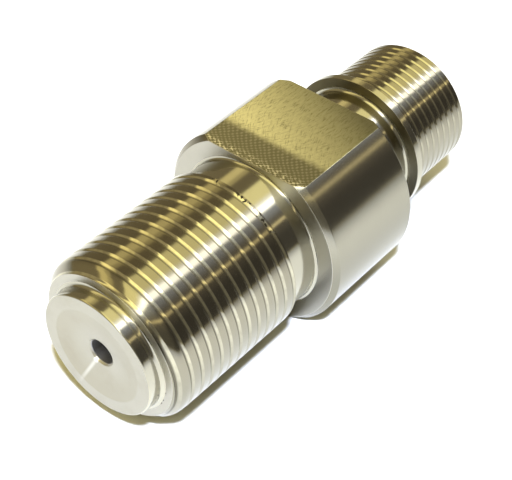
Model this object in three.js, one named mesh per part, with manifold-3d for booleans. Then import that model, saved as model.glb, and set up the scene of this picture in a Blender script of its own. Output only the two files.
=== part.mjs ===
// A straight threaded adapter nipple: two male threads, a round wrench body with two milled flats,
// a relief behind the coarse thread, a neck and stop collar ahead of the fine thread, and a small
// bore right through. It is drawn as the zones that it is turned in, each a ring that meets the
// next on a plane square to the axis.
// Millimetres. +X runs along the bore from the nose to the fine-thread end, +Z is up, square to the
// flats, and the origin is on the axis at mid-length. A station is a distance from the nose face.

import * as THREE from 'three';
import { mergeVertices } from 'three/addons/utils/BufferGeometryUtils.js';
import Module from 'manifold-3d';

const wasm = await Module();
wasm.setup();

// Stations where one zone ends and the next begins.
const NOSE_END = 2.5;
const COARSE_END = 27.5;
const RELIEF_END = 33.2;
const BODY_END = 52.6;
const NECK_END = 59.8;
const COLLAR_END = 61.1;
const OVERALL_LENGTH = 75.4;

// Radii.
const BORE_RADIUS = 2.05;
const NOSE_RADIUS = 10.15;
const COARSE_RADIUS = 13.45;
const RELIEF_RADIUS = 12.6;
const BODY_RADIUS = 16.5;
const NECK_RADIUS = 10.15;
const COLLAR_RADIUS = 12.35;
const FINE_RADIUS = 10.95;

// The nose's end face: a flat sealing ring round a shallow dish that leads to the bore.
const DISH_RADIUS = 7.8;
const DISH_DEPTH = 0.9;
const BORE_EDGE = 0.3;

const ACROSS_FLATS = 27;
const BODY_CHAMFER = 1;
const COARSE_CHAMFER = 1.45;
const FINE_CHAMFER = 0.8;
const COLLAR_CHAMFER = 0.2;
const NOSE_EDGE = 0.15;
const NECK_COVE = 0.6;
const RELIEF_COVE = 0.45;
const END_COUNTERSINK = 1;

// Thread grooves, right-handed. `lead` is the station of the groove's centre where it crosses +Y.
const COARSE_THREAD = { pitch: 2, mouth: 0.94, root: 0.2, depth: 0.6, lead: 0.06 };
const FINE_THREAD = { pitch: 1.5, mouth: 0.56, root: 0.12, depth: 0.38, lead: 1.1 };

const SIDES = 32;           // flats round each turned surface, and steps in one turn of a thread
const COVE_STEPS = 3;

// A ring turned about the part's axis from a closed outline of [station, radius] corners, which
// starts at the bore, goes out across the front face, back along the outside and in again.
function turned(outline) {
  const points = [...outline, outline[0]].map(
    ([station, radius]) => new THREE.Vector2(radius, station - OVERALL_LENGTH / 2));
  const ring = new THREE.LatheGeometry(points, SIDES);
  ring.rotateZ(-Math.PI / 2);
  return ring;
}

// Corners of a hollow quarter-round between a cylinder and the shoulder that rises from it at
// `station`. `side` is -1 where the cylinder lies ahead of the shoulder, 1 where it lies behind.
function cove(station, radius, size, side) {
  const corners = [];
  for (let step = 0; step <= COVE_STEPS; step++) {
    const angle = (Math.PI / 2) * (step / COVE_STEPS);
    const along = size * (1 - Math.sin(angle));
    const out = size * (1 - Math.cos(angle));
    corners.push([station + side * along, radius + out]);
  }
  return side < 0 ? corners : corners.reverse();
}

// The centre line of a thread, advancing along +X as it turns from +Y towards +Z.
class Helix extends THREE.Curve {
  constructor(radius, pitch, turnsBefore, turns, lead) {
    super();
    Object.assign(this, { radius, pitch, turnsBefore, turns, lead });
  }

  angle(t) {
    return 2 * Math.PI * (this.turnsBefore + this.turns * t);
  }

  getPoint(t, target = new THREE.Vector3()) {
    const angle = this.angle(t);
    const station = this.lead + this.pitch * angle / (2 * Math.PI);
    return target.set(station - OVERALL_LENGTH / 2,
      this.radius * Math.cos(angle), this.radius * Math.sin(angle));
  }

  getPointAt(t, target) {
    return this.getPoint(t, target);
  }

  // Frames that keep the section upright: its x is radial, its y lies along the part's axis.
  computeFrenetFrames(steps) {
    const frames = { tangents: [], normals: [], binormals: [] };
    for (let step = 0; step <= steps; step++) {
      const angle = this.angle(step / steps);
      frames.tangents.push(new THREE.Vector3(0, -Math.sin(angle), Math.cos(angle)));
      frames.normals.push(new THREE.Vector3(0, Math.cos(angle), Math.sin(angle)));
      frames.binormals.push(new THREE.Vector3(-1, 0, 0));
    }
    return frames;
  }
}

function solidOf(geometry) {
  const bare = geometry.clone();
  bare.deleteAttribute('normal');
  bare.deleteAttribute('uv');
  const merged = mergeVertices(bare, 1e-5);
  return new wasm.Manifold(new wasm.Mesh({
    numProp: 3,
    vertProperties: Float32Array.from(merged.attributes.position.array),
    triVerts: Uint32Array.from(merged.index.array),
  }));
}

function geometryOf(solid) {
  const mesh = solid.getMesh();
  const geometry = new THREE.BufferGeometry();
  geometry.setAttribute('position', new THREE.BufferAttribute(mesh.vertProperties, 3));
  geometry.setIndex(new THREE.BufferAttribute(mesh.triVerts, 1));
  geometry.computeVertexNormals();
  return geometry;
}

// Cuts a helical groove into a turned blank between two stations, running out past both.
function threaded(blank, from, to, radius, { pitch, mouth, root, depth, lead }) {
  const clear = depth;
  const flare = (mouth - root) / 2;
  const section = new THREE.Shape([
    new THREE.Vector2(-depth, -root / 2),
    new THREE.Vector2(clear, -root / 2 - flare * (depth + clear) / depth),
    new THREE.Vector2(clear, root / 2 + flare * (depth + clear) / depth),
    new THREE.Vector2(-depth, root / 2),
  ]);
  const turnsBefore = Math.floor((from - lead) / pitch) - 1;
  const turns = Math.ceil((to - lead) / pitch) + 1 - turnsBefore;
  const helix = new Helix(radius, pitch, turnsBefore, turns, lead);
  const groove = new THREE.ExtrudeGeometry(section, { steps: turns * SIDES, extrudePath: helix });
  return geometryOf(solidOf(blank).subtract(solidOf(groove)));
}

function pilotNose() {
  return turned([
    [DISH_DEPTH + BORE_EDGE, BORE_RADIUS],
    [DISH_DEPTH, BORE_RADIUS + BORE_EDGE],
    [0, DISH_RADIUS],
    [0, NOSE_RADIUS - NOSE_EDGE],
    [NOSE_EDGE, NOSE_RADIUS],
    ...cove(NOSE_END, NOSE_RADIUS, NECK_COVE, -1),
    [NOSE_END, BORE_RADIUS],
  ]);
}

function coarseThread() {
  const blank = turned([
    [NOSE_END, BORE_RADIUS],
    [NOSE_END, COARSE_RADIUS - COARSE_CHAMFER],
    [NOSE_END + COARSE_CHAMFER, COARSE_RADIUS],
    [COARSE_END, COARSE_RADIUS],
    [COARSE_END, BORE_RADIUS],
  ]);
  return threaded(blank, NOSE_END, COARSE_END, COARSE_RADIUS, COARSE_THREAD);
}

function frontRelief() {
  return turned([
    [COARSE_END, BORE_RADIUS],
    [COARSE_END, RELIEF_RADIUS],
    ...cove(RELIEF_END, RELIEF_RADIUS, RELIEF_COVE, -1),
    [RELIEF_END, BORE_RADIUS],
  ]);
}

function wrenchBody() {
  const blank = turned([
    [RELIEF_END, BORE_RADIUS],
    [RELIEF_END, BODY_RADIUS - BODY_CHAMFER],
    [RELIEF_END + BODY_CHAMFER, BODY_RADIUS],
    [BODY_END - BODY_CHAMFER, BODY_RADIUS],
    [BODY_END, BODY_RADIUS - BODY_CHAMFER],
    [BODY_END, BORE_RADIUS],
  ]);
  const removed = BODY_RADIUS;
  let body = solidOf(blank);
  for (const side of [-1, 1]) {
    const cutter = new THREE.BoxGeometry(OVERALL_LENGTH, 3 * BODY_RADIUS, removed);
    cutter.translate(0, 0, side * (ACROSS_FLATS + removed) / 2);
    body = body.subtract(solidOf(cutter));
  }
  return geometryOf(body);
}

function rearNeck() {
  return turned([
    [BODY_END, BORE_RADIUS],
    ...cove(BODY_END, NECK_RADIUS, NECK_COVE, 1),
    ...cove(NECK_END, NECK_RADIUS, NECK_COVE, -1),
    [NECK_END, BORE_RADIUS],
  ]);
}

function stopCollar() {
  return turned([
    [NECK_END, BORE_RADIUS],
    [NECK_END, COLLAR_RADIUS - COLLAR_CHAMFER],
    [NECK_END + COLLAR_CHAMFER, COLLAR_RADIUS],
    [COLLAR_END - COLLAR_CHAMFER, COLLAR_RADIUS],
    [COLLAR_END, COLLAR_RADIUS - COLLAR_CHAMFER],
    [COLLAR_END, BORE_RADIUS],
  ]);
}

function fineThread() {
  const blank = turned([
    [COLLAR_END, BORE_RADIUS],
    [COLLAR_END, FINE_RADIUS],
    [OVERALL_LENGTH - FINE_CHAMFER, FINE_RADIUS],
    [OVERALL_LENGTH, FINE_RADIUS - FINE_CHAMFER],
    [OVERALL_LENGTH, BORE_RADIUS + END_COUNTERSINK],
    [OVERALL_LENGTH - END_COUNTERSINK, BORE_RADIUS],
  ]);
  const grooveStart = COLLAR_END + 2 * FINE_THREAD.pitch;
  return threaded(blank, grooveStart, OVERALL_LENGTH, FINE_RADIUS, FINE_THREAD);
}

const turnedSteel = { color: 0xc8c4b8, roughness: 0.22, metalness: 1 };
const satinSteel = { color: 0xc4c0b4, roughness: 0.34, metalness: 1 };
const facedSteel = { color: 0xcecabd, roughness: 0.45, metalness: 1 };

const zones = [
  ['pilot_nose', pilotNose, facedSteel],
  ['coarse_thread', coarseThread, turnedSteel],
  ['front_relief', frontRelief, turnedSteel],
  ['wrench_body', wrenchBody, satinSteel],
  ['rear_neck', rearNeck, turnedSteel],
  ['stop_collar', stopCollar, turnedSteel],
  ['fine_thread', fineThread, turnedSteel],
];

const nipple = new THREE.Group();
for (const [name, shape, finish] of zones) {
  const zone = new THREE.Mesh(shape(), new THREE.MeshStandardMaterial(finish));
  zone.name = name;
  nipple.add(zone);
}

export default nipple;
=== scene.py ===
"""A threaded steel adapter nipple: two male threads, a round wrench body with two flats and a
stop collar, with a small studio round it. Metres, in the frame of the CAD part: +X runs along the
bore from the nose to the fine-thread end and +Z is square to the flats."""

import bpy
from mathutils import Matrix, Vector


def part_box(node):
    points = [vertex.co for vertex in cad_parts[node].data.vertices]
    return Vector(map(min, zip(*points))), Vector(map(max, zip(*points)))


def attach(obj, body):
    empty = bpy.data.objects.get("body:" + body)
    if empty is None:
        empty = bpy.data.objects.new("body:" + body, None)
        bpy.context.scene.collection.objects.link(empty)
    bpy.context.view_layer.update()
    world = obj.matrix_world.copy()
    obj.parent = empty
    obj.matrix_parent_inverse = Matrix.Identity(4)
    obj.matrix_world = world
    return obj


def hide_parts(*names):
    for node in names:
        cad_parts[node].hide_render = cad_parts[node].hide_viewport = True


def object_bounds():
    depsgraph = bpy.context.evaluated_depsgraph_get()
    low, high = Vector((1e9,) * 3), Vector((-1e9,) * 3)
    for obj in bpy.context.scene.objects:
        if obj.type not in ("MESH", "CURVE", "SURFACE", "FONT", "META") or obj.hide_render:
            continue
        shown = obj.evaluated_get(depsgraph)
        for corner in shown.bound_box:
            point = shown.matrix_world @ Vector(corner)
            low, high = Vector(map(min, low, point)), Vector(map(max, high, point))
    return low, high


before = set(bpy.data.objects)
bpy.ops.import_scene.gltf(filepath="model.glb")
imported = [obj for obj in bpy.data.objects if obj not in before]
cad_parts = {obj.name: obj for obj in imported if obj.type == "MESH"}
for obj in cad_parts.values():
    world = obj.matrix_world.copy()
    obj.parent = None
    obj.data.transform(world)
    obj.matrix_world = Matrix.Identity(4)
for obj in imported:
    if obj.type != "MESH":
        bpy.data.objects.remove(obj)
CAD_BOX = [list(corner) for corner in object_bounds()]

import math

import bmesh
import bpy
import numpy as np
from mathutils import Vector

bl_info = {
    "name": "Adapter nipple",
    "version": (1, 0, 0),
    "blender": (4, 5, 0),
    "location": "3D View > Sidebar > Nipple",
    "description": "Builds a threaded steel adapter nipple and a small studio round it",
    "category": "Add Mesh",
}

MM = 0.001
AROUND = 256  # columns round every turned surface, and steps in one turn of a thread
ARC_STEP = math.radians(22.5)
HOLD = 0.3  # a straight stretch keeps a row this share of an arc's radius from the arc
SHARP = math.radians(38)
CHAMFER_ANGLE = math.radians(45)
BODY = "root"

# Softness of the corners that the surfaces are drawn with.
BORE_MOUTH_SOFT = 0.08 * MM
DISH_RIM_SOFT = 0.12 * MM
NOSE_RIM_SOFT = 0.3 * MM
FINE_ROLL = 0.08 * MM
FLAT_SOFT = 0.02 * MM
ROOT_SOFT = 0.12  # of the groove's depth, where its two walls meet
CREST_SOFT = 0.06  # of the groove's depth, where a wall meets the crest

# Depths of the fine relief that the finishes are bumped by.
TURNED_RELIEF = 0.0015 * MM
FACED_RELIEF = 0.003 * MM
MILLED_RELIEF = 0.006 * MM

# Measures that the finishes are laid out by, in millimetres.
FACE = (0.03, 0.06)  # a face square to the axis fades out between these distances from it
BORE_EDGE = (2.08, 2.16)  # the bore's finish fades out between these distances from the axis
CUTTER_RADIUS = 22.0  # of the cutter that milled the flats
CUTTER_X = 14.0  # of its centre's path, which runs along Y
HATCH_RATE = 7.2  # radians of the hatch in a millimetre across the cutter's marks
# The painted highlight streak on the nose's face runs out from the bore at this angle.
STREAK_TURN = 63.0  # degrees below +Y at which one streak runs out from the bore
FLAT_FADE = (0.06, 0.02)  # the flats' finish fades in between these depths below the flats

# The surroundings: ranges of the angle about X in degrees, from 0 at the +Y horizon through 90
# overhead to 180 at the -Y horizon. Each row lays its colour over those above it: whether its
# edges wander, where it starts and ends, the width of its edges, and the colour. With no width
# it fades in from start to end and then lasts.
SKY = (
    (False, 22.0, 34.0, 0, (0.31, 0.25, 0.14)),
    (True, 37.0, 57.0, 4.0, (0.80, 0.66, 0.31)),
    (True, 37.5, 49.5, 3.5, (1.32, 1.10, 0.50)),
    (True, 77.5, 106.0, 3.0, (1.75, 1.57, 0.78)),
    (False, 98.0, 106.5, 0, (2.1, 2.1, 2.0)),
    (False, 106.5, 115.5, 2.0, (4.3, 4.3, 4.3)),
    (False, 115.0, 118.5, 0, (0.52, 0.54, 0.60)),
    (False, 120.0, 134.0, 0, (0.25, 0.22, 0.17)),
    (False, 137.0, 141.0, 1.2, (1.45, 1.22, 0.68)),
    (False, 141.0, 144.0, 0, (0.17, 0.15, 0.12)),
    (False, 146.0, 158.0, 0, (0.11, 0.10, 0.082)),
)
SKY_START = (0.34, 0.275, 0.15)


def span(node):
    """The lowest and highest x of a CAD node."""
    low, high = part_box(node)
    return low[0], high[0]


def reach(node):
    """The largest distance of a CAD node from the axis, measured along Y."""
    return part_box(node)[1][1]


NOSE = span("pilot_nose")
COARSE = span("coarse_thread")
RELIEF = span("front_relief")
WRENCH = span("wrench_body")
NECK = span("rear_neck")
COLLAR = span("stop_collar")
FINE = span("fine_thread")
FLAT_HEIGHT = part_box("wrench_body")[1][2]


def length(name, description, default):
    """A length property in metres."""
    return bpy.props.FloatProperty(
        name=name, description=description, default=default, unit="LENGTH", precision=5
    )


def colour(name, description, default):
    """A colour property."""
    return bpy.props.FloatVectorProperty(
        name=name, description=description, default=default, size=3, subtype="COLOR", min=0, max=1
    )


def plain(name, description, default):
    """A number property without a unit."""
    return bpy.props.FloatProperty(name=name, description=description, default=default)


def angle(name, description, degrees):
    """An angle property, given in degrees."""
    return bpy.props.FloatProperty(
        name=name, description=description, default=math.radians(degrees), subtype="ANGLE"
    )


class NippleSizes(bpy.types.PropertyGroup):
    """Sizes of the nipple that the frame's boxes don't give."""

    bore: length("Bore radius", "Radius of the hole right through", 2.05 * MM)
    bore_edge: length("Bore edge", "Width of the broken edge at the bore's mouth", 0.3 * MM)
    dish_radius: length("Dish radius", "Outer radius of the shallow dish in the nose", 7.8 * MM)
    dish_depth: length("Dish depth", "Depth of the dish at the bore", 0.9 * MM)
    nose_cove: length("Nose cove", "Radius between the nose and the thread's shoulder", 0.6 * MM)
    coarse_chamfer: length("Coarse chamfer", "Lead-in chamfer of the coarse thread", 1.45 * MM)
    coarse_roll: length("Coarse roll", "Softness of the coarse chamfer's upper edge", 0.6 * MM)
    relief_cove: length("Relief cove", "Radius between the relief and the body", 0.45 * MM)
    body_chamfer: length("Body chamfer", "Chamfer at both ends of the wrench body", 0.85 * MM)
    neck_cove: length("Neck cove", "Radius at both ends of the rear neck", 0.6 * MM)
    fine_chamfer: length("Fine chamfer", "Lead-in chamfer of the fine thread", 0.6 * MM)
    countersink: length("Countersink", "Countersink at the fine-thread end", 1.0 * MM)
    edge: length("Edge", "Radius of the broken outer edges", 0.1 * MM)


class NippleThreads(bpy.types.PropertyGroup):
    """The grooves of the two threads."""

    coarse_pitch: length("Coarse pitch", "Advance of the coarse thread in one turn", 2.0 * MM)
    coarse_mouth: length("Coarse mouth", "Width of the coarse groove at the crest", 0.72 * MM)
    coarse_depth: length("Coarse depth", "Depth of the coarse groove", 0.37 * MM)
    coarse_lead: length("Coarse lead", "Distance from the nose face to a groove at +Y", 0.10 * MM)
    fine_pitch: length("Fine pitch", "Advance of the fine thread in one turn", 1.5 * MM)
    fine_mouth: length("Fine mouth", "Width of the fine groove at the crest", 0.52 * MM)
    fine_depth: length("Fine depth", "Depth of the fine groove", 0.26 * MM)
    fine_lead: length("Fine lead", "Distance from the nose face to a groove at +Y", 1.1 * MM)
    heel: plain("Heel", "Share of a groove's width that its front wall takes", 0.19)


class NippleFinish(bpy.types.PropertyGroup):
    """Colours and polish of the machined steel."""

    turned: colour("Turned steel", "Colour of the bright turned steel", (0.40, 0.385, 0.315))
    faced: colour("Faced steel", "Colour of the faced nose", (0.43, 0.415, 0.36))
    # Painted shade: the darker colour laid on the upper side of the thread crests.
    crest_top_shade: colour("Shaded crest top", "Colour of the crests' upper side", (0.285, 0.265, 0.205))
    # Painted highlight: the colour of the bright band painted along the groove walls.
    wall: colour("Groove wall", "Colour of the groove walls", (0.55, 0.525, 0.40))
    # Painted shade: the colour of the dark line painted at the groove's root.
    root: colour("Groove root", "Colour of the dark line at the groove's root", (0.13, 0.12, 0.09))
    bore: colour("Bore", "Colour inside the bore", (0.40, 0.40, 0.44))
    stain: colour("Stain", "Colour that the whole part is lightly stained", (0.12, 0.11, 0.08))
    grime: colour("Grime", "Colour of the cutting-oil residue", (0.03, 0.026, 0.02))
    dish: colour("Dish", "Colour of the outer part of the nose's dish", (0.395, 0.375, 0.31))
    # Painted shade: the darker colour laid on the body's side towards +Y.
    side: colour("Body side", "Colour of the body's side towards +Y", (0.21, 0.19, 0.14))
    # Painted sheen: the flats fade from the bright front colour to the dark rear one.
    flat_sheen_front: colour("Flat, front", "Colour of the flats at the front", (1.0, 1.0, 0.74))
    flat_sheen_rear: colour("Flat, rear", "Colour of the flats at the rear", (0.21, 0.21, 0.155))
    scratch: colour("Scratch", "Colour of the milling scratches", (0.10, 0.09, 0.045))
    # Painted light and shade on the collar's front face: these colours lie below and above.
    shoulder: colour("Shoulder", "Colour of the collar's shoulder below", (0.37, 0.355, 0.31))
    shoulder_top_shade: colour("Shoulder, top", "Colour of that shoulder above", (0.17, 0.15, 0.09))
    turned_polish: plain("Turned roughness", "Roughness of the turned steel", 0.115)
    body_polish: plain("Body roughness", "Roughness of the wrench body", 0.15)
    faced_polish: plain("Faced roughness", "Roughness of the faced nose", 0.42)


class NippleStudio(bpy.types.PropertyGroup):
    """Camera, floor and lights."""

    azimuth: angle("Azimuth", "Camera azimuth from -Y towards +X", -50.2)
    elevation: angle("Elevation", "Camera elevation above the floor", 43.2)
    distance: length("Distance", "Camera distance from the point it looks at", 0.204)
    aim_along: length("Aim along", "Aim point along the axis", -0.00546)
    aim_across: length("Aim across", "Aim point across the axis", -0.00191)
    lens: plain("Lens", "Focal length in millimetres on a 36 mm sensor", 95.0)
    floor: colour("Floor", "Colour of the floor by the nipple", (0.53, 0.51, 0.37))
    # Painted shade: the floor's colour farther off, darker as the light falls off.
    floor_far_shade: colour("Floor edge", "Colour of the floor farther off", (0.31, 0.30, 0.23))
    floor_size: length("Floor size", "Side of the square floor", 4.0)
    lamp_azimuth: angle("Lamp azimuth", "Lamp azimuth from -Y towards +X", -45.0)
    lamp_elevation: angle("Lamp elevation", "Lamp elevation above the floor", 60.0)
    lamp_distance: length("Lamp distance", "Lamp distance from the nipple", 0.6)
    lamp_size: length("Lamp size", "Diameter of the lamp", 0.05)
    lamp_power: plain("Lamp power", "Power of the lamp in watts", 17.5)
    lamp_colour: colour("Lamp colour", "Colour of the lamp", (0.53, 0.60, 1.0))


# ---------------------------------------------------------------------------------------------
# Surfaces
# ---------------------------------------------------------------------------------------------


def rounded(corners):
    """A closed outline through (x, radius, rounding) corners. Each corner is cut back along both
    of its sides by rounding / tan(half its angle) and joined by an arc about the point on its
    bisector, with a row kept on each straight stretch just outside the arc where there is room."""
    spots = np.array([corner[:2] for corner in corners], float)
    outline = []
    for here, before, after, (_, _, size) in zip(
        spots, np.roll(spots, 1, 0), np.roll(spots, -1, 0), corners
    ):
        if size <= 0:
            outline.append(here[None])
            continue
        way_in, way_out = here - before, after - here
        room_in, room_out = np.linalg.norm(way_in), np.linalg.norm(way_out)
        back, on = -way_in / room_in, way_out / room_out
        half = math.acos(np.clip(back @ on, -1, 1)) / 2
        cut = size / math.tan(half)
        centre = here + (back + on) / np.linalg.norm(back + on) * size / math.sin(half)
        first = here + back * cut - centre
        last = here + on * cut - centre
        swing = math.pi - 2 * half
        steps = max(2, math.ceil(swing / ARC_STEP))
        share = np.linspace(0, 1, steps + 1)[:, None]
        arc = (np.sin((1 - share) * swing) * first + np.sin(share * swing) * last) / math.sin(swing)
        hold = cut + HOLD * size
        if room_in > hold:
            outline.append((here + back * hold)[None])
        outline.append(centre + arc)
        if room_out > hold:
            outline.append((here + on * hold)[None])
    return np.concatenate(outline)


def quads(index):
    """Quads between neighbouring rows and columns of a grid of vertex numbers, facing away from
    the axis where rows run along +X and columns from +Y towards +Z."""
    a, b, c, d = index[:-1, :-1], index[:-1, 1:], index[1:, 1:], index[1:, :-1]
    return np.stack([a, b, c, d], -1).reshape(-1, 4)


def around(x, r, turn):
    """Points at distance r from the axis and angle t round it: (x, r cos t, r sin t)."""
    return np.stack([x + 0 * turn, r * np.cos(turn), r * np.sin(turn)], -1)


def wrapped(points, closed):
    """A grid of points and the quads between them. The last column meets the first, and where the
    outline is closed the last row meets the first."""
    index = np.arange(points.shape[0] * points.shape[1]).reshape(points.shape[:2])
    if closed:
        index = np.concatenate([index, index[:1]])
    index = np.concatenate([index, index[:, :1]], 1)
    return points.reshape(-1, 3), quads(index)


def turned(outline, closed=True):
    """A ring swept round the axis: the outline's (x, r) goes to (x, r cos t, r sin t) as t runs
    through a full turn. An open outline leaves both of its edges free."""
    outline = np.array(outline)
    turn = np.linspace(0, 2 * np.pi, AROUND, endpoint=False)
    return wrapped(around(outline[:, :1], outline[:, 1:], turn), closed)


def soft_floor(value, width):
    """max(value, 0) with its corner rounded over the given width: a hyperbola branch."""
    return (value + np.sqrt(value * value + width * width)) / 2


def threaded(ends, crest, chamfer, roll, inner, groove, start):
    """The outside of a thread between two ends. Its ribbon is one pitch wide, from crest middle
    to crest middle, and winds along x = lead + pitch * turns + s while its radius is the crest
    less a groove with a short front wall and a long back one, the lesser of two ramps of s with
    soft corners. A 45 degree chamfer takes the crest down at the front where chamfer > 0 and at
    the back where it is < 0, rolling over within `roll`, and the groove grows shallow with it. The
    groove fades in over one pitch from `start`. Whatever lies past the ends folds into the end
    circles, and the back one is drawn in to the radius inner."""
    first, last = ends
    pitch, mouth, heel, depth, lead = groove
    front, back = heel * mouth, (1 - heel) * mouth
    front_rows = np.array([-0.5, -0.2, 0.0, 0.2, 0.45, 0.75, 1.0])
    back_rows = np.array([0.06, 0.15, 0.3, 0.5, 0.7, 0.84, 0.93, 1.0, 1.07, 1.18])
    edge = -mouth / 2
    strip = np.concatenate([
        np.linspace(-pitch / 2, edge - 0.8 * front, 5),
        edge + front * front_rows,
        edge + front + back * back_rows,
        np.linspace(edge + 1.25 * back + front, pitch / 2, 5),
    ])[:, None]
    turns = np.arange(
        math.floor((first - lead) / pitch - 1.5) * AROUND,
        math.ceil((last - lead) / pitch + 1.5) * AROUND + 1,
    )
    centre = lead + pitch * turns / AROUND
    x = centre + strip
    past = x >= last
    rim = past & np.concatenate([np.zeros_like(past[:1]), ~past[:-1]])
    x = np.clip(x, first, last)
    phase = (x - centre) / pitch
    groove_at = centre + np.round(phase) * pitch
    s = x - groove_at - edge
    fade = np.clip((groove_at - start) / pitch, 0, 1)
    wall = s / front
    slope = 1 - (s - front) / back
    level = slope - soft_floor(slope - wall, ROOT_SOFT)
    cut = depth * soft_floor(level, CREST_SOFT) * fade * fade * (3 - 2 * fade)
    drop = abs(chamfer)
    gap = x - first if chamfer > 0 else last - x
    lost = soft_floor(drop - gap, roll)
    r = crest - lost - cut * np.clip(1 - lost / drop, 0, 1) ** 0.5
    r = np.where(x <= first, np.where(chamfer > 0, crest - lost, crest), r)
    r = np.where(past & ~rim, inner, r)
    points = around(x, r, 2 * np.pi * turns / AROUND)
    return points.reshape(-1, 3), quads(np.arange(x.size).reshape(x.shape))


def wrench_columns(corner):
    """Angles round the wrench body, close together about the four corners of its flats."""
    near = np.concatenate([-np.geomspace(0.6, 0.002, 40), [0], np.geomspace(0.002, 0.5, 40)])
    near = near[(near > -corner) & (near < np.pi / 2 - corner)]
    quarter = np.concatenate([[0.0], corner + near])
    side = np.linspace(0, quarter[1], 12)[:-1]
    flat = np.linspace(quarter[-1], np.pi / 2, 60)[1:]
    quarter = np.concatenate([side, quarter[1:], flat])
    half = np.concatenate([quarter, np.pi - quarter[-2::-1]])
    return np.concatenate([half, np.pi + half[1:-1]])


def wrench_end(x, way, low, inset, outer, edge):
    """Rows of the wrench body from an end face at x to the outside, where its inside lies `way`:
    a round edge onto the chamfer and another one off it."""
    rows = []
    for share in np.linspace(0, 1, 4):
        lean = CHAMFER_ANGLE * share
        rows.append((x + way * edge * (1 - math.cos(lean)), low + edge * math.sin(lean)))
    for share in np.linspace(0, 1, 4):
        lean = CHAMFER_ANGLE * (1 + share)
        along = x + way * (inset - edge * math.cos(lean))
        rows.append((along, outer - edge + edge * math.sin(lean)))
    rows.append((x + way * (inset + edge), outer))
    return rows


def wrench_surface(ends, radius, flat, size):
    """A round bar with two flats and a chamfer at each end. Round the axis its radius is the
    smaller of the bar's and flat / |sin t|, with the corner between them rounded. Along the axis
    each end runs up the face, round to the 45 degree chamfer and round again to the outside, all
    drawn as an outline shrunk by the edge radius and grown back along its turning normal; where
    the flat cuts below the chamfer the two turns meet in one."""
    first, last = ends
    edge = size.edge
    turn = wrench_columns(math.asin(flat / radius))
    flat_radius = flat / np.maximum(np.abs(np.sin(turn)), 0.2)
    outer = radius - soft_floor(radius - flat_radius, FLAT_SOFT)
    step = radius - size.body_chamfer
    low = np.minimum(step + edge * (1 - math.sqrt(2)), outer - edge)
    inset = np.maximum(edge, outer - edge - step + edge * math.sqrt(2))
    head = [(first, size.bore), (first, low * 0.995)]
    head += wrench_end(first, 1, low, inset, outer, edge)
    middle = [(first + (last - first) * share, outer) for share in np.linspace(0.12, 0.88, 9)]
    tail = wrench_end(last, -1, low, inset, outer, edge)[::-1]
    tail += [(last, low * 0.995), (last, size.bore)]
    rows = head + middle + tail
    x = np.stack([row[0] + 0 * turn for row in rows])
    r = np.stack([row[1] + 0 * turn for row in rows])
    return wrapped(around(x, r, turn), True)


def joined(*sheets):
    """Several (points, quads) sheets as one."""
    starts = np.cumsum([0] + [len(points) for points, _ in sheets[:-1]])
    points = np.concatenate([points for points, _ in sheets])
    return points, np.concatenate([faces + start for (_, faces), start in zip(sheets, starts)])


def add_piece(name, surface, finish, node):
    """Puts a surface into a mesh, closes its seams, parents it to the body's empty and hides the
    CAD node that it stands in for.
    """
    points, faces = surface
    mesh = bpy.data.meshes.new(name)
    mesh.from_pydata(points, [], faces)
    work = bmesh.new()
    work.from_mesh(mesh)
    bmesh.ops.remove_doubles(work, verts=work.verts, dist=1e-7)
    bmesh.ops.dissolve_degenerate(work, edges=work.edges, dist=1e-8)
    work.to_mesh(mesh)
    work.free()
    mesh.shade_smooth()
    mesh.set_sharp_from_angle(angle=SHARP)
    mesh.materials.append(finish)
    piece = bpy.data.objects.new(name, mesh)
    bpy.context.scene.collection.objects.link(piece)
    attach(piece, BODY)
    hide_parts(node)


# ---------------------------------------------------------------------------------------------
# Finishes
# ---------------------------------------------------------------------------------------------


class Wire:
    """A node's output that takes part in Python arithmetic; each sum adds a Math node."""

    def __init__(self, shop, socket):
        self.shop, self.socket = shop, socket

    def maths(self, operation, *values):
        """Another Math node of the given operation."""
        return self.shop.node("ShaderNodeMath", {"operation": operation}, list(values))

    def __add__(self, other):
        return self.maths("ADD", self, other)

    def __sub__(self, other):
        return self.maths("SUBTRACT", self, other)

    def __rsub__(self, other):
        return self.maths("SUBTRACT", other, self)

    def __mul__(self, other):
        return self.maths("MULTIPLY", self, other)

    def __truediv__(self, other):
        return self.maths("DIVIDE", self, other)

    def __pow__(self, other):
        return self.maths("POWER", self, other)

    __radd__ = __add__
    __rmul__ = __mul__


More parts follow.
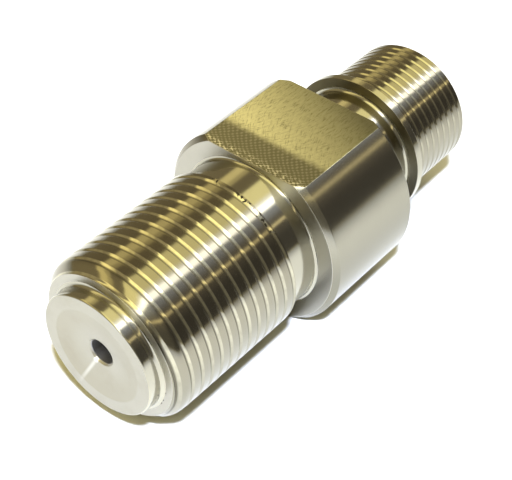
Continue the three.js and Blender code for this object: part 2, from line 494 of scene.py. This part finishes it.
class Shop:
    """A node tree that nodes are added to by type, settings and inputs."""

    def __init__(self, tree):
        self.tree = tree
        tree.nodes.clear()

    def node(self, kind, settings=None, inputs=None, output=0):
        """Adds a node, applies its settings, then fills its inputs by name or in order."""
        made = self.tree.nodes.new(kind)
        for key, value in (settings or {}).items():
            setattr(made, key, value)
        named = inputs.items() if isinstance(inputs, dict) else enumerate(inputs or [])
        for key, value in named:
            if isinstance(value, Wire):
                self.tree.links.new(value.socket, made.inputs[key])
            else:
                made.inputs[key].default_value = value
        return Wire(self, made.outputs[output]) if made.outputs else None

    def mix(self, share, one, other):
        """A colour between two others."""
        made = self.tree.nodes.new("ShaderNodeMix")
        made.data_type = "RGBA"
        for key, value in (("Factor", share), ("A", one), ("B", other)):
            place = [s for s in made.inputs if s.name == key and s.enabled][0]
            if isinstance(value, Wire):
                self.tree.links.new(value.socket, place)
            elif key == "Factor":
                place.default_value = value
            else:
                place.default_value = (*value, 1.0)
        return Wire(self, [s for s in made.outputs if s.enabled][0])

    def rise(self, value, low, high):
        """0 below low, 1 above high, and a smooth step between."""
        return self.node(
            "ShaderNodeMapRange",
            {"interpolation_type": "SMOOTHSTEP"},
            {"Value": value, "From Min": low, "From Max": high, "To Min": 0.0, "To Max": 1.0},
        )

    def band(self, value, low, high, soft):
        """1 between low and high and 0 outside, over soft edges."""
        inside = self.rise(value, low - soft / 2, low + soft / 2)
        return inside * (1 - self.rise(value, high - soft / 2, high + soft / 2))

    def noise(self, place, scale, detail=2.0, roughness=0.5):
        """Soft noise between 0 and 1."""
        return self.node(
            "ShaderNodeTexNoise",
            {"noise_dimensions": "3D"},
            {"Vector": place, "Scale": scale, "Detail": detail, "Roughness": roughness},
        )

    def stretched(self, place, scale):
        """Coordinates multiplied axis by axis."""
        return self.node("ShaderNodeVectorMath", {"operation": "MULTIPLY"}, [place, scale])


class Steel(Shop):
    """Bare steel, with the measures that its zones are told apart by, in millimetres."""

    def __init__(self, name, finish, roughness):
        self.finish = finish
        self.material = bpy.data.materials.new(name)
        self.material.use_nodes = True
        super().__init__(self.material.node_tree)
        place = self.node("ShaderNodeTexCoord", output="Object")
        self.place = self.stretched(place, (1000, 1000, 1000))
        parts = self.node("ShaderNodeSeparateXYZ", {}, [self.place]).socket.node.outputs
        self.along, self.across, self.up = (Wire(self, part) for part in parts)
        self.out = (self.across * self.across + self.up * self.up) ** 0.5
        self.tint, self.roughness = tuple(finish.turned), roughness
        self.relief = self.noise(self.stretched(self.place, (9, 0.06, 0.06)), 1.0, 3.0, 0.7)
        self.wear = self.noise(self.place, 0.26, 4.0, 0.6)

    def noise_of(self, *values, scale=1.0, detail=3.0):
        """Noise that varies only with the values given."""
        spot = self.node("ShaderNodeCombineXYZ", {}, list(values))
        return self.noise(spot, scale, detail, 0.7)

    def turn(self):
        """The angle round the axis in degrees, from +Y towards +Z."""
        return self.up.maths("ARCTAN2", self.up, self.across) * (180 / math.pi)

    def front_face(self, station):
        """1 on a face at the station that looks along -X, and 0 behind it."""
        return 1 - self.rise(self.along, station + FACE[0], station + FACE[1])

    def rear_face(self, station):
        """1 on a face at the station that looks along +X, and 0 ahead of it."""
        return self.rise(self.along, station - FACE[1], station - FACE[0])

    def zone(self, share, tint, roughness, relief=None):
        """Lays another colour, roughness and relief over the share given."""
        self.tint = self.mix(share, self.tint, tint)
        self.roughness = share * (roughness - self.roughness) + self.roughness
        if relief:
            self.relief = share * (relief - self.relief) + self.relief

    def done(self, depth):
        """Dulls the bore, stains the whole lightly and ends the tree. `depth` is the relief's."""
        self.zone(1 - self.rise(self.out, *BORE_EDGE), tuple(self.finish.bore), 0.5)
        shade = self.mix(self.wear * 0.14, self.tint, tuple(self.finish.stain))
        specks = self.noise(self.place, 2.5, 2.0, 0.6)
        polish = self.roughness * (0.85 + 0.3 * self.relief) + 0.02 * specks
        bump = self.node(
            "ShaderNodeBump", {}, {"Strength": 1.0, "Distance": depth, "Height": self.relief}
        )
        shader = self.node(
            "ShaderNodeBsdfPrincipled",
            {},
            {"Base Color": shade, "Metallic": 1.0, "Roughness": polish, "Normal": bump},
        )
        self.node("ShaderNodeOutputMaterial", {}, {"Surface": shader})
        return self.material


def scaled(tint, share):
    """A colour times a number."""
    return tuple(share * part for part in tint)


def turned_steel(name, finish, front=None):
    """Bright turned steel: rings square to the axis, painted lighter below. Where `front` is given,
    the face at that station is rougher, with painted light below and painted shade above."""
    made = Steel(name, finish, finish.turned_polish)
    # Painted light: the lower side is laid a quarter brighter.
    below = 1 - made.rise(made.up, -4.0, 3.0)
    made.zone(below, scaled(finish.turned, 1.25), finish.turned_polish)
    if front is not None:
        # Painted light and shade: the front face is laid lighter below and darker above.
        above = made.rise(made.up, -1.0, 7.0)
        dull_and_shade = made.mix(above, tuple(finish.shoulder), tuple(finish.shoulder_top_shade))
        made.zone(made.front_face(front), dull_and_shade, 0.4)
    return made.done(TURNED_RELIEF)


def threaded_steel(name, finish, groove, ends, shine, residue):
    """A turned thread, told apart by the place along one pitch: crests with painted shade on the
    upper side, a painted highlight along the groove walls as strong as `shine` makes it, and a
    dark line of painted shade at the root. The front face is faced. With `residue` there are dark
    specks on the last turn and at the foot of the front face."""
    pitch, mouth, lead = (groove[part] / MM for part in (0, 1, 4))
    first, last = (end / MM for end in ends)
    made = Steel(name, finish, finish.turned_polish)
    part = (made.along - lead) / pitch - made.turn() / 360 + 0.5
    spot = (part.maths("FRACT", part) - 0.5) * pitch + (made.wear - 0.5) * 0.1
    edge = -mouth / 2
    wall = edge + groove[2] * mouth
    # Painted shade: the crests are laid darker on their upper side.
    upper = made.rise(made.up, -4.0, 7.0)
    made.tint = made.mix(upper, scaled(finish.turned, 0.74), tuple(finish.crest_top_shade))
    # Painted highlight: a patchy bright band along the upper part of each groove's back wall.
    bright = made.mix(upper, scaled(finish.turned, 0.9 * shine), scaled(finish.wall, shine))
    patchy = made.rise(made.noise_of(made.along * 0.8, made.turn() * 0.1), 0.3, 0.6) * 0.55 + 0.45
    made.zone(made.band(spot, wall + 0.42 * mouth, mouth / 2 + 0.04, 0.06) * patchy, bright, 0.09)
    # Painted shade: a dark line along the groove's root.
    root = made.band(spot, edge - 0.02, wall + 0.28 * mouth, 0.05)
    made.zone(root, tuple(finish.root), 0.25)
    made.zone(made.front_face(first), tuple(finish.faced), 0.35)
    if residue:
        blot = made.rise(made.noise(made.place, 1.6, 3.0, 0.6), 0.53, 0.57)
        rim = made.band(made.along, last - 0.8, last - 0.1, 0.15)
        made.zone(blot * rim * made.band(made.across, -9.5, 2.5, 1.0), tuple(finish.grime), 0.6)
        foot = made.band(made.out, 10.1, 10.9, 0.2) * made.band(made.turn(), -174.0, -152.0, 4.0)
        made.zone(blot * foot, tuple(finish.grime), 0.6)
    return made.done(TURNED_RELIEF)


def faced_steel(finish, edge, dish):
    """The nose: turned outside of the radius `edge`, painted lighter below, and faced inside, where
    the rings run out from the bore, the dish is a shade duller than the ring round it, one
    painted highlight streak runs outwards and a painted glint sits on the bore's rim."""
    made = Steel("faced_steel", finish, finish.turned_polish)
    # Painted light: the lower side of the nose is laid brighter.
    below = 1 - made.rise(made.up, -2.0, 4.0)
    made.zone(below, scaled(finish.turned, 1.28), finish.turned_polish)
    face = 1 - made.rise(made.out, edge - 0.04, edge + 0.04)
    rings = made.noise_of(made.out, scale=7.0)
    made.zone(face, tuple(finish.faced), finish.faced_polish, rings)
    dished = face * (1 - made.rise(made.out, dish - 0.2, dish + 0.2))
    dull_and_shade = made.mix(made.rise(made.out, 2.5, 6.5), tuple(finish.faced), tuple(finish.dish))
    made.zone(dished, dull_and_shade, finish.faced_polish)
    worn = made.rise(made.wear, 0.45, 0.75) * face * 0.3
    made.zone(worn, (0.36, 0.33, 0.25), finish.faced_polish)
    turn = made.turn() + STREAK_TURN
    off = turn.maths("ABSOLUTE", turn)
    # Painted highlight: one bright streak runs out from the bore across the face.
    streak = face * (1 - made.rise(off * made.out, 1.0, 26.0))
    streak = streak * (1 - made.rise(made.out, 5.0, 10.0))
    made.zone(streak * 0.45, (0.85, 0.85, 0.82), 0.35)
    glint = (1 - made.rise(off, 5.0, 11.0)) * made.band(made.out, 1.9, 2.75, 0.3)
    made.zone(glint, (1.0, 1.0, 1.0), 0.25)
    return made.done(FACED_RELIEF)


def cutter_marks(made):
    """Marks of a cutter of radius R, fed along Y with its centre at x = c: two crossing sets of
    arcs, y -+ sqrt(R * R - (x - c) * (x - c)). Returns noise along each and a hatch of both."""
    behind = made.along - CUTTER_X
    bow = (CUTTER_RADIUS**2 - behind * behind) ** 0.5
    wobble = made.noise_of(made.along, made.across, scale=0.5) * 0.9
    one = made.noise_of(made.across - bow, made.along * 0.14, scale=4.4, detail=2.0)
    two = made.noise_of(made.across + bow, made.along * 0.14, 7.0, scale=4.4, detail=2.0)
    feed = (made.across - bow + wobble) * HATCH_RATE
    back = (made.across + bow - wobble) * HATCH_RATE
    hatch = feed.maths("SINE", feed) * 0.25 + back.maths("SINE", back) * 0.25 + 0.5
    return one, two, hatch


def flat_tint(made, finish, one, two, hatch):
    """The flats' colour: a painted sheen that falls off towards the rear under fine scratches. At
    the front, behind a ragged line, the sheen gives way to a darker cross-hatched strip, with
    painted glints along the front edge and a painted white highlight at one corner."""
    # Painted sheen: bright at the front, falling off towards the rear.
    lean = made.along - made.across * 0.45
    fall = made.node("ShaderNodeMapRange", {}, {"Value": lean, "From Min": 0.0, "From Max": 17.0})
    tint = made.mix(fall, tuple(finish.flat_sheen_front), tuple(finish.flat_sheen_rear))
    tint = made.mix((1 - hatch) * 0.12, tint, tuple(finish.scratch))
    streaks = made.rise(one, 0.54, 0.66) * 0.5 + made.rise(two, 0.54, 0.66) * 0.5
    tint = made.mix(streaks * 0.7, tint, tuple(finish.scratch))
    # At the front, behind a ragged line, the painted sheen gives way to a darker cross-hatched
    # strip.
    ragged = made.noise_of(made.along, made.across, scale=0.9) - 0.5
    front_strip = made.rise(made.along + ragged * 1.4, 0.2, 2.1)
    dull_and_shade = made.mix(made.rise(hatch, 0.35, 0.95) * 0.6, (0.21, 0.205, 0.155), (0.46, 0.45, 0.36))
    tint = made.mix(front_strip, dull_and_shade, tint)
    # Painted glints: bright specks along the rough front edge.
    burr_glint = made.rise(made.noise_of(made.along, made.across, scale=1.5), 0.47, 0.56)
    burr_glint = burr_glint * made.rise(hatch, 0.3, 0.6) * (1 - made.rise(made.along, -4.0, -2.4))
    tint = made.mix(burr_glint * 0.85, tint, (1.0, 0.98, 0.86))
    # Painted highlight: a white spot at one front corner of the flats.
    corner = (1 - made.rise(made.along, -4.1, -3.5)) * (1 - made.rise(made.across, -8.9, -8.2))
    return made.mix(corner, tint, (1.0, 1.0, 1.0))


def milled_steel(finish):
    """The wrench body: satin turned steel, painted darker below and on its side towards +Y, with
    faced ends and two milled flats whose colour is a painted sheen.
    """
    made = Steel("milled_steel", finish, finish.body_polish)
    # Painted shade: the lower side is laid darker than the upper.
    upper = made.rise(made.up, -2.0, 9.0)
    made.tint = made.mix(upper, scaled(finish.turned, 0.60), scaled(finish.turned, 0.88))
    # Painted shade on the body's side towards +Y.
    made.zone(made.rise(made.across, 7.0, 10.0), tuple(finish.side), finish.body_polish)
    one, two, hatch = cutter_marks(made)
    height = FLAT_HEIGHT / MM
    high = made.up.maths("ABSOLUTE", made.up)
    flat = made.rise(high, height - FLAT_FADE[0], height - FLAT_FADE[1])
    marks = one * 0.3 + two * 0.3 + hatch * 0.4
    made.zone(flat, flat_tint(made, finish, one, two, hatch), 0.30, marks)
    front, rear = (end / MM for end in WRENCH)
    made.zone(made.front_face(front), tuple(finish.faced), 0.35)
    made.zone(made.rear_face(rear), tuple(finish.faced), 0.5)
    return made.done(MILLED_RELIEF)


# ---------------------------------------------------------------------------------------------
# Pieces
# ---------------------------------------------------------------------------------------------


class NIPPLE_OT_nose(bpy.types.Operator):
    """Builds the plain nose with its shallow dished face"""

    bl_idname = "nipple.nose"
    bl_label = "Nose"

    def execute(self, context):
        size, finish = context.scene.nipple_sizes, context.scene.nipple_finish
        front, back = NOSE
        radius = reach("pilot_nose") - size.nose_cove
        outline = rounded(
            [
                (back, size.bore, 0),
                (front + size.dish_depth + size.bore_edge, size.bore, BORE_MOUTH_SOFT),
                (front + size.dish_depth, size.bore + size.bore_edge, BORE_MOUTH_SOFT),
                (front, size.dish_radius, DISH_RIM_SOFT),
                (front, radius, NOSE_RIM_SOFT),
                (back, radius, size.nose_cove),
                (back, radius + size.nose_cove, 0),
            ]
        )
        made = faced_steel(finish, (radius - 0.2 * MM) / MM, size.dish_radius / MM)
        add_piece("pilot_nose_fine", turned(outline), made, "pilot_nose")
        return {"FINISHED"}


class NIPPLE_OT_coarse_thread(bpy.types.Operator):
    """Builds the coarse thread behind the nose"""

    bl_idname = "nipple.coarse_thread"
    bl_label = "Coarse thread"

    def execute(self, context):
        size, cut = context.scene.nipple_sizes, context.scene.nipple_threads
        finish = context.scene.nipple_finish
        first, last = COARSE
        crest = reach("coarse_thread")
        inner = reach("front_relief") - size.relief_cove
        lead = NOSE[0] + cut.coarse_lead
        groove = (cut.coarse_pitch, cut.coarse_mouth, cut.heel, cut.coarse_depth, lead)
        start = first - cut.coarse_pitch * 2
        chamfer, roll = size.coarse_chamfer, size.coarse_roll
        outside = threaded(COARSE, crest, chamfer, roll, inner, groove, start)
        step = crest - soft_floor(chamfer, roll)
        walls = [(last, inner), (last, size.bore), (first, size.bore), (first, step)]
        surface = joined(outside, turned(walls, closed=False))
        made = threaded_steel("thread_steel", finish, groove, COARSE, 1.0, True)
        add_piece("coarse_thread_fine", surface, made, "coarse_thread")
        return {"FINISHED"}


class NIPPLE_OT_relief(bpy.types.Operator):
    """Builds the relief between the coarse thread and the wrench body"""

    bl_idname = "nipple.relief"
    bl_label = "Relief"

    def execute(self, context):
        size, finish = context.scene.nipple_sizes, context.scene.nipple_finish
        front, back = RELIEF
        radius = reach("front_relief") - size.relief_cove
        outline = rounded(
            [
                (back, size.bore, 0),
                (front, size.bore, 0),
                (front, radius, 0),
                (back, radius, size.relief_cove),
                (back, radius + size.relief_cove, 0),
            ]
        )
        made = turned_steel("relief_steel", finish)
        add_piece("front_relief_fine", turned(outline), made, "front_relief")
        return {"FINISHED"}


class NIPPLE_OT_wrench_body(bpy.types.Operator):
    """Builds the round wrench body with its two milled flats"""

    bl_idname = "nipple.wrench_body"
    bl_label = "Wrench body"

    def execute(self, context):
        size, finish = context.scene.nipple_sizes, context.scene.nipple_finish
        radius = reach("wrench_body")
        made = milled_steel(finish)
        surface = wrench_surface(WRENCH, radius, FLAT_HEIGHT, size)
        add_piece("wrench_body_fine", surface, made, "wrench_body")
        return {"FINISHED"}


class NIPPLE_OT_rear_neck(bpy.types.Operator):
    """Builds the neck between the wrench body and the stop collar"""

    bl_idname = "nipple.rear_neck"
    bl_label = "Rear neck"

    def execute(self, context):
        size, finish = context.scene.nipple_sizes, context.scene.nipple_finish
        front, back = NECK
        radius = reach("rear_neck") - size.neck_cove
        outline = rounded(
            [
                (back, size.bore, 0),
                (front, size.bore, 0),
                (front, radius + size.neck_cove, 0),
                (front, radius, size.neck_cove),
                (back, radius, size.neck_cove),
                (back, radius + size.neck_cove, 0),
            ]
        )
        made = turned_steel("neck_steel", finish)
        add_piece("rear_neck_fine", turned(outline), made, "rear_neck")
        return {"FINISHED"}


class NIPPLE_OT_collar(bpy.types.Operator):
    """Builds the narrow stop collar"""

    bl_idname = "nipple.collar"
    bl_label = "Stop collar"

    def execute(self, context):
        size, finish = context.scene.nipple_sizes, context.scene.nipple_finish
        front, back = COLLAR
        radius = reach("stop_collar")
        outline = rounded(
            [
                (back, size.bore, 0),
                (front, size.bore, 0),
                (front, radius, size.edge),
                (back, radius, size.edge),
            ]
        )
        made = turned_steel("collar_steel", finish, front / MM)
        add_piece("stop_collar_fine", turned(outline), made, "stop_collar")
        return {"FINISHED"}


class NIPPLE_OT_fine_thread(bpy.types.Operator):
    """Builds the fine thread at the rear end"""

    bl_idname = "nipple.fine_thread"
    bl_label = "Fine thread"

    def execute(self, context):
        size, cut = context.scene.nipple_sizes, context.scene.nipple_threads
        finish = context.scene.nipple_finish
        first, last = FINE
        crest = reach("fine_thread")
        step, sink = crest - size.fine_chamfer, size.countersink
        lead = NOSE[0] + cut.fine_lead
        groove = (cut.fine_pitch, cut.fine_mouth, cut.heel, cut.fine_depth, lead)
        start = first + cut.fine_pitch * 0.6
        outside = threaded(FINE, crest, -size.fine_chamfer, FINE_ROLL, step, groove, start)
        walls = [
            (last, step),
            (last, size.bore + sink),
            (last - sink, size.bore),
            (first, size.bore),
            (first, crest),
        ]
        surface = joined(outside, turned(walls, closed=False))
        made = threaded_steel("fine_thread_steel", finish, groove, FINE, 0.78, False)
        add_piece("fine_thread_fine", surface, made, "fine_thread")
        return {"FINISHED"}


# ---------------------------------------------------------------------------------------------
# Studio
# ---------------------------------------------------------------------------------------------


def sky(world):
    """Surroundings in ranges of the angle about X, which grow brighter towards -X."""
    world.use_nodes = True
    shop = Shop(world.node_tree)
    way = shop.node("ShaderNodeTexCoord", output="Generated")
    parts = shop.node("ShaderNodeSeparateXYZ", {}, [way])
    x, y, z = (Wire(shop, parts.socket.node.outputs[number]) for number in range(3))
    lean = y.maths("ARCTAN2", z, y) * (180 / math.pi)
    rough = lean + (shop.noise(way, 7.0, 2.0, 0.5) - 0.5) * 6
    tint = SKY_START
    for wanders, start, end, width, shade in SKY:
        value = rough if wanders else lean
        share = shop.band(value, start, end, width) if width else shop.rise(value, start, end)
        tint = shop.mix(share, tint, shade)
    facing = 1 - shop.rise(x, -0.45, 0.25)
    lit = shop.node(
        "ShaderNodeVectorMath",
        {"operation": "MULTIPLY_ADD"},
        [tint, (1.35, 1.35, 1.25), (0.06, 0.057, 0.045)],
    )
    tint = shop.mix(facing, tint, lit)
    glow = shop.node("ShaderNodeBackground", {}, {"Color": tint, "Strength": 1.0})
    shop.node("ShaderNodeOutputWorld", {}, {"Surface": glow})


def direction(azimuth, elevation):
    """The unit vector at the given azimuth from -Y towards +X and elevation."""
    level = math.cos(elevation)
    return Vector((math.sin(azimuth) * level, -math.cos(azimuth) * level, math.sin(elevation)))


def placed(scene, name, data, place, towards, axis, top):
    """Puts a lamp or a camera at a place, with its own `axis` along `towards` and `top` up."""
    made = bpy.data.objects.new(name, data)
    made.location = place
    made.rotation_mode = "QUATERNION"
    made.rotation_quaternion = towards.to_track_quat(axis, top)
    scene.collection.objects.link(made)
    return made


def add_floor(scene, set_up):
    """A square of pale paper under the nipple, painted darker farther off as the light falls off.
    """
    half, height = set_up.floor_size / 2, CAD_BOX[0][2]
    mesh = bpy.data.meshes.new("floor")
    corners = [(-half, -half), (half, -half), (half, half), (-half, half)]
    mesh.from_pydata([(x, y, height) for x, y in corners], [], [(0, 1, 2, 3)])
    paper = bpy.data.materials.new("floor_paper")
    paper.use_nodes = True
    shop = Shop(paper.node_tree)
    place = shop.node("ShaderNodeTexCoord", output="Object")
    away = shop.node("ShaderNodeVectorMath", {"operation": "LENGTH"}, [place], output="Value")
    # Painted shade: the floor darkens farther off, as the light falls off.
    tint = shop.mix(shop.rise(away, 0.05, 0.24), set_up.floor, set_up.floor_far_shade)
    shader = shop.node(
        "ShaderNodeBsdfPrincipled",
        {},
        {"Base Color": tint, "Roughness": 0.9, "Specular IOR Level": 0.1},
    )
    shop.node("ShaderNodeOutputMaterial", {}, {"Surface": shader})
    mesh.materials.append(paper)
    floor = bpy.data.objects.new("floor", mesh)
    scene.collection.objects.link(floor)


def add_lamp(scene, set_up):
    """A cool round lamp aimed at the origin that polished steel doesn't mirror."""
    lamp = bpy.data.lights.new("key_lamp", "AREA")
    lamp.shape = "DISK"
    lamp.size, lamp.energy, lamp.color = set_up.lamp_size, set_up.lamp_power, set_up.lamp_colour
    back = direction(set_up.lamp_azimuth, set_up.lamp_elevation)
    made = placed(scene, "key_lamp", lamp, back * set_up.lamp_distance, back, "Z", "Y")
    made.visible_glossy = False


def add_camera(scene, set_up):
    """The camera, which looks at a point near the middle of the nipple."""
    lens = bpy.data.cameras.new("camera")
    lens.sensor_width = 36.0
    lens.lens = set_up.lens
    lens.clip_start, lens.clip_end = 0.01, 20.0
    back = direction(set_up.azimuth, set_up.elevation)
    place = Vector((set_up.aim_along, set_up.aim_across, 0)) + back * set_up.distance
    scene.camera = placed(scene, "camera", lens, place, -back, "-Z", "Y")


class NIPPLE_OT_studio(bpy.types.Operator):
    """Builds the floor, the light and the camera"""

    bl_idname = "nipple.studio"
    bl_label = "Studio"

    def execute(self, context):
        scene, set_up = context.scene, context.scene.nipple_studio
        add_floor(scene, set_up)
        scene.world = bpy.data.worlds.new("surroundings")
        sky(scene.world)
        add_lamp(scene, set_up)
        add_camera(scene, set_up)
        scene.view_settings.view_transform = "Standard"
        return {"FINISHED"}


PIECES = (
    NIPPLE_OT_nose,
    NIPPLE_OT_coarse_thread,
    NIPPLE_OT_relief,
    NIPPLE_OT_wrench_body,
    NIPPLE_OT_rear_neck,
    NIPPLE_OT_collar,
    NIPPLE_OT_fine_thread,
)


class NIPPLE_PT_panel(bpy.types.Panel):
    """Lists the nipple's pieces and the studio"""

    bl_idname = "NIPPLE_PT_panel"
    bl_label = "Adapter nipple"
    bl_space_type = "VIEW_3D"
    bl_region_type = "UI"
    bl_category = "Nipple"

    def draw(self, context):
        for made in (*PIECES, NIPPLE_OT_studio):
            self.layout.operator(made.bl_idname)


GROUPS = {
    "nipple_sizes": NippleSizes,
    "nipple_threads": NippleThreads,
    "nipple_finish": NippleFinish,
    "nipple_studio": NippleStudio,
}
CLASSES = (*GROUPS.values(), *PIECES, NIPPLE_OT_studio, NIPPLE_PT_panel)


def register():
    """Registers the classes and hangs the settings on the scene."""
    for made in CLASSES:
        bpy.utils.register_class(made)
    for name, group in GROUPS.items():
        setattr(bpy.types.Scene, name, bpy.props.PointerProperty(type=group))


def unregister():
    """Takes the settings and the classes away again."""
    for name in GROUPS:
        delattr(bpy.types.Scene, name)
    for made in reversed(CLASSES):
        bpy.utils.unregister_class(made)


def main():
    """Builds everything in order."""
    register()
    bpy.ops.nipple.studio()
    bpy.ops.nipple.nose()
    bpy.ops.nipple.coarse_thread()
    bpy.ops.nipple.relief()
    bpy.ops.nipple.wrench_body()
    bpy.ops.nipple.rear_neck()
    bpy.ops.nipple.collar()
    bpy.ops.nipple.fine_thread()


if __name__ == "__main__":
    main()
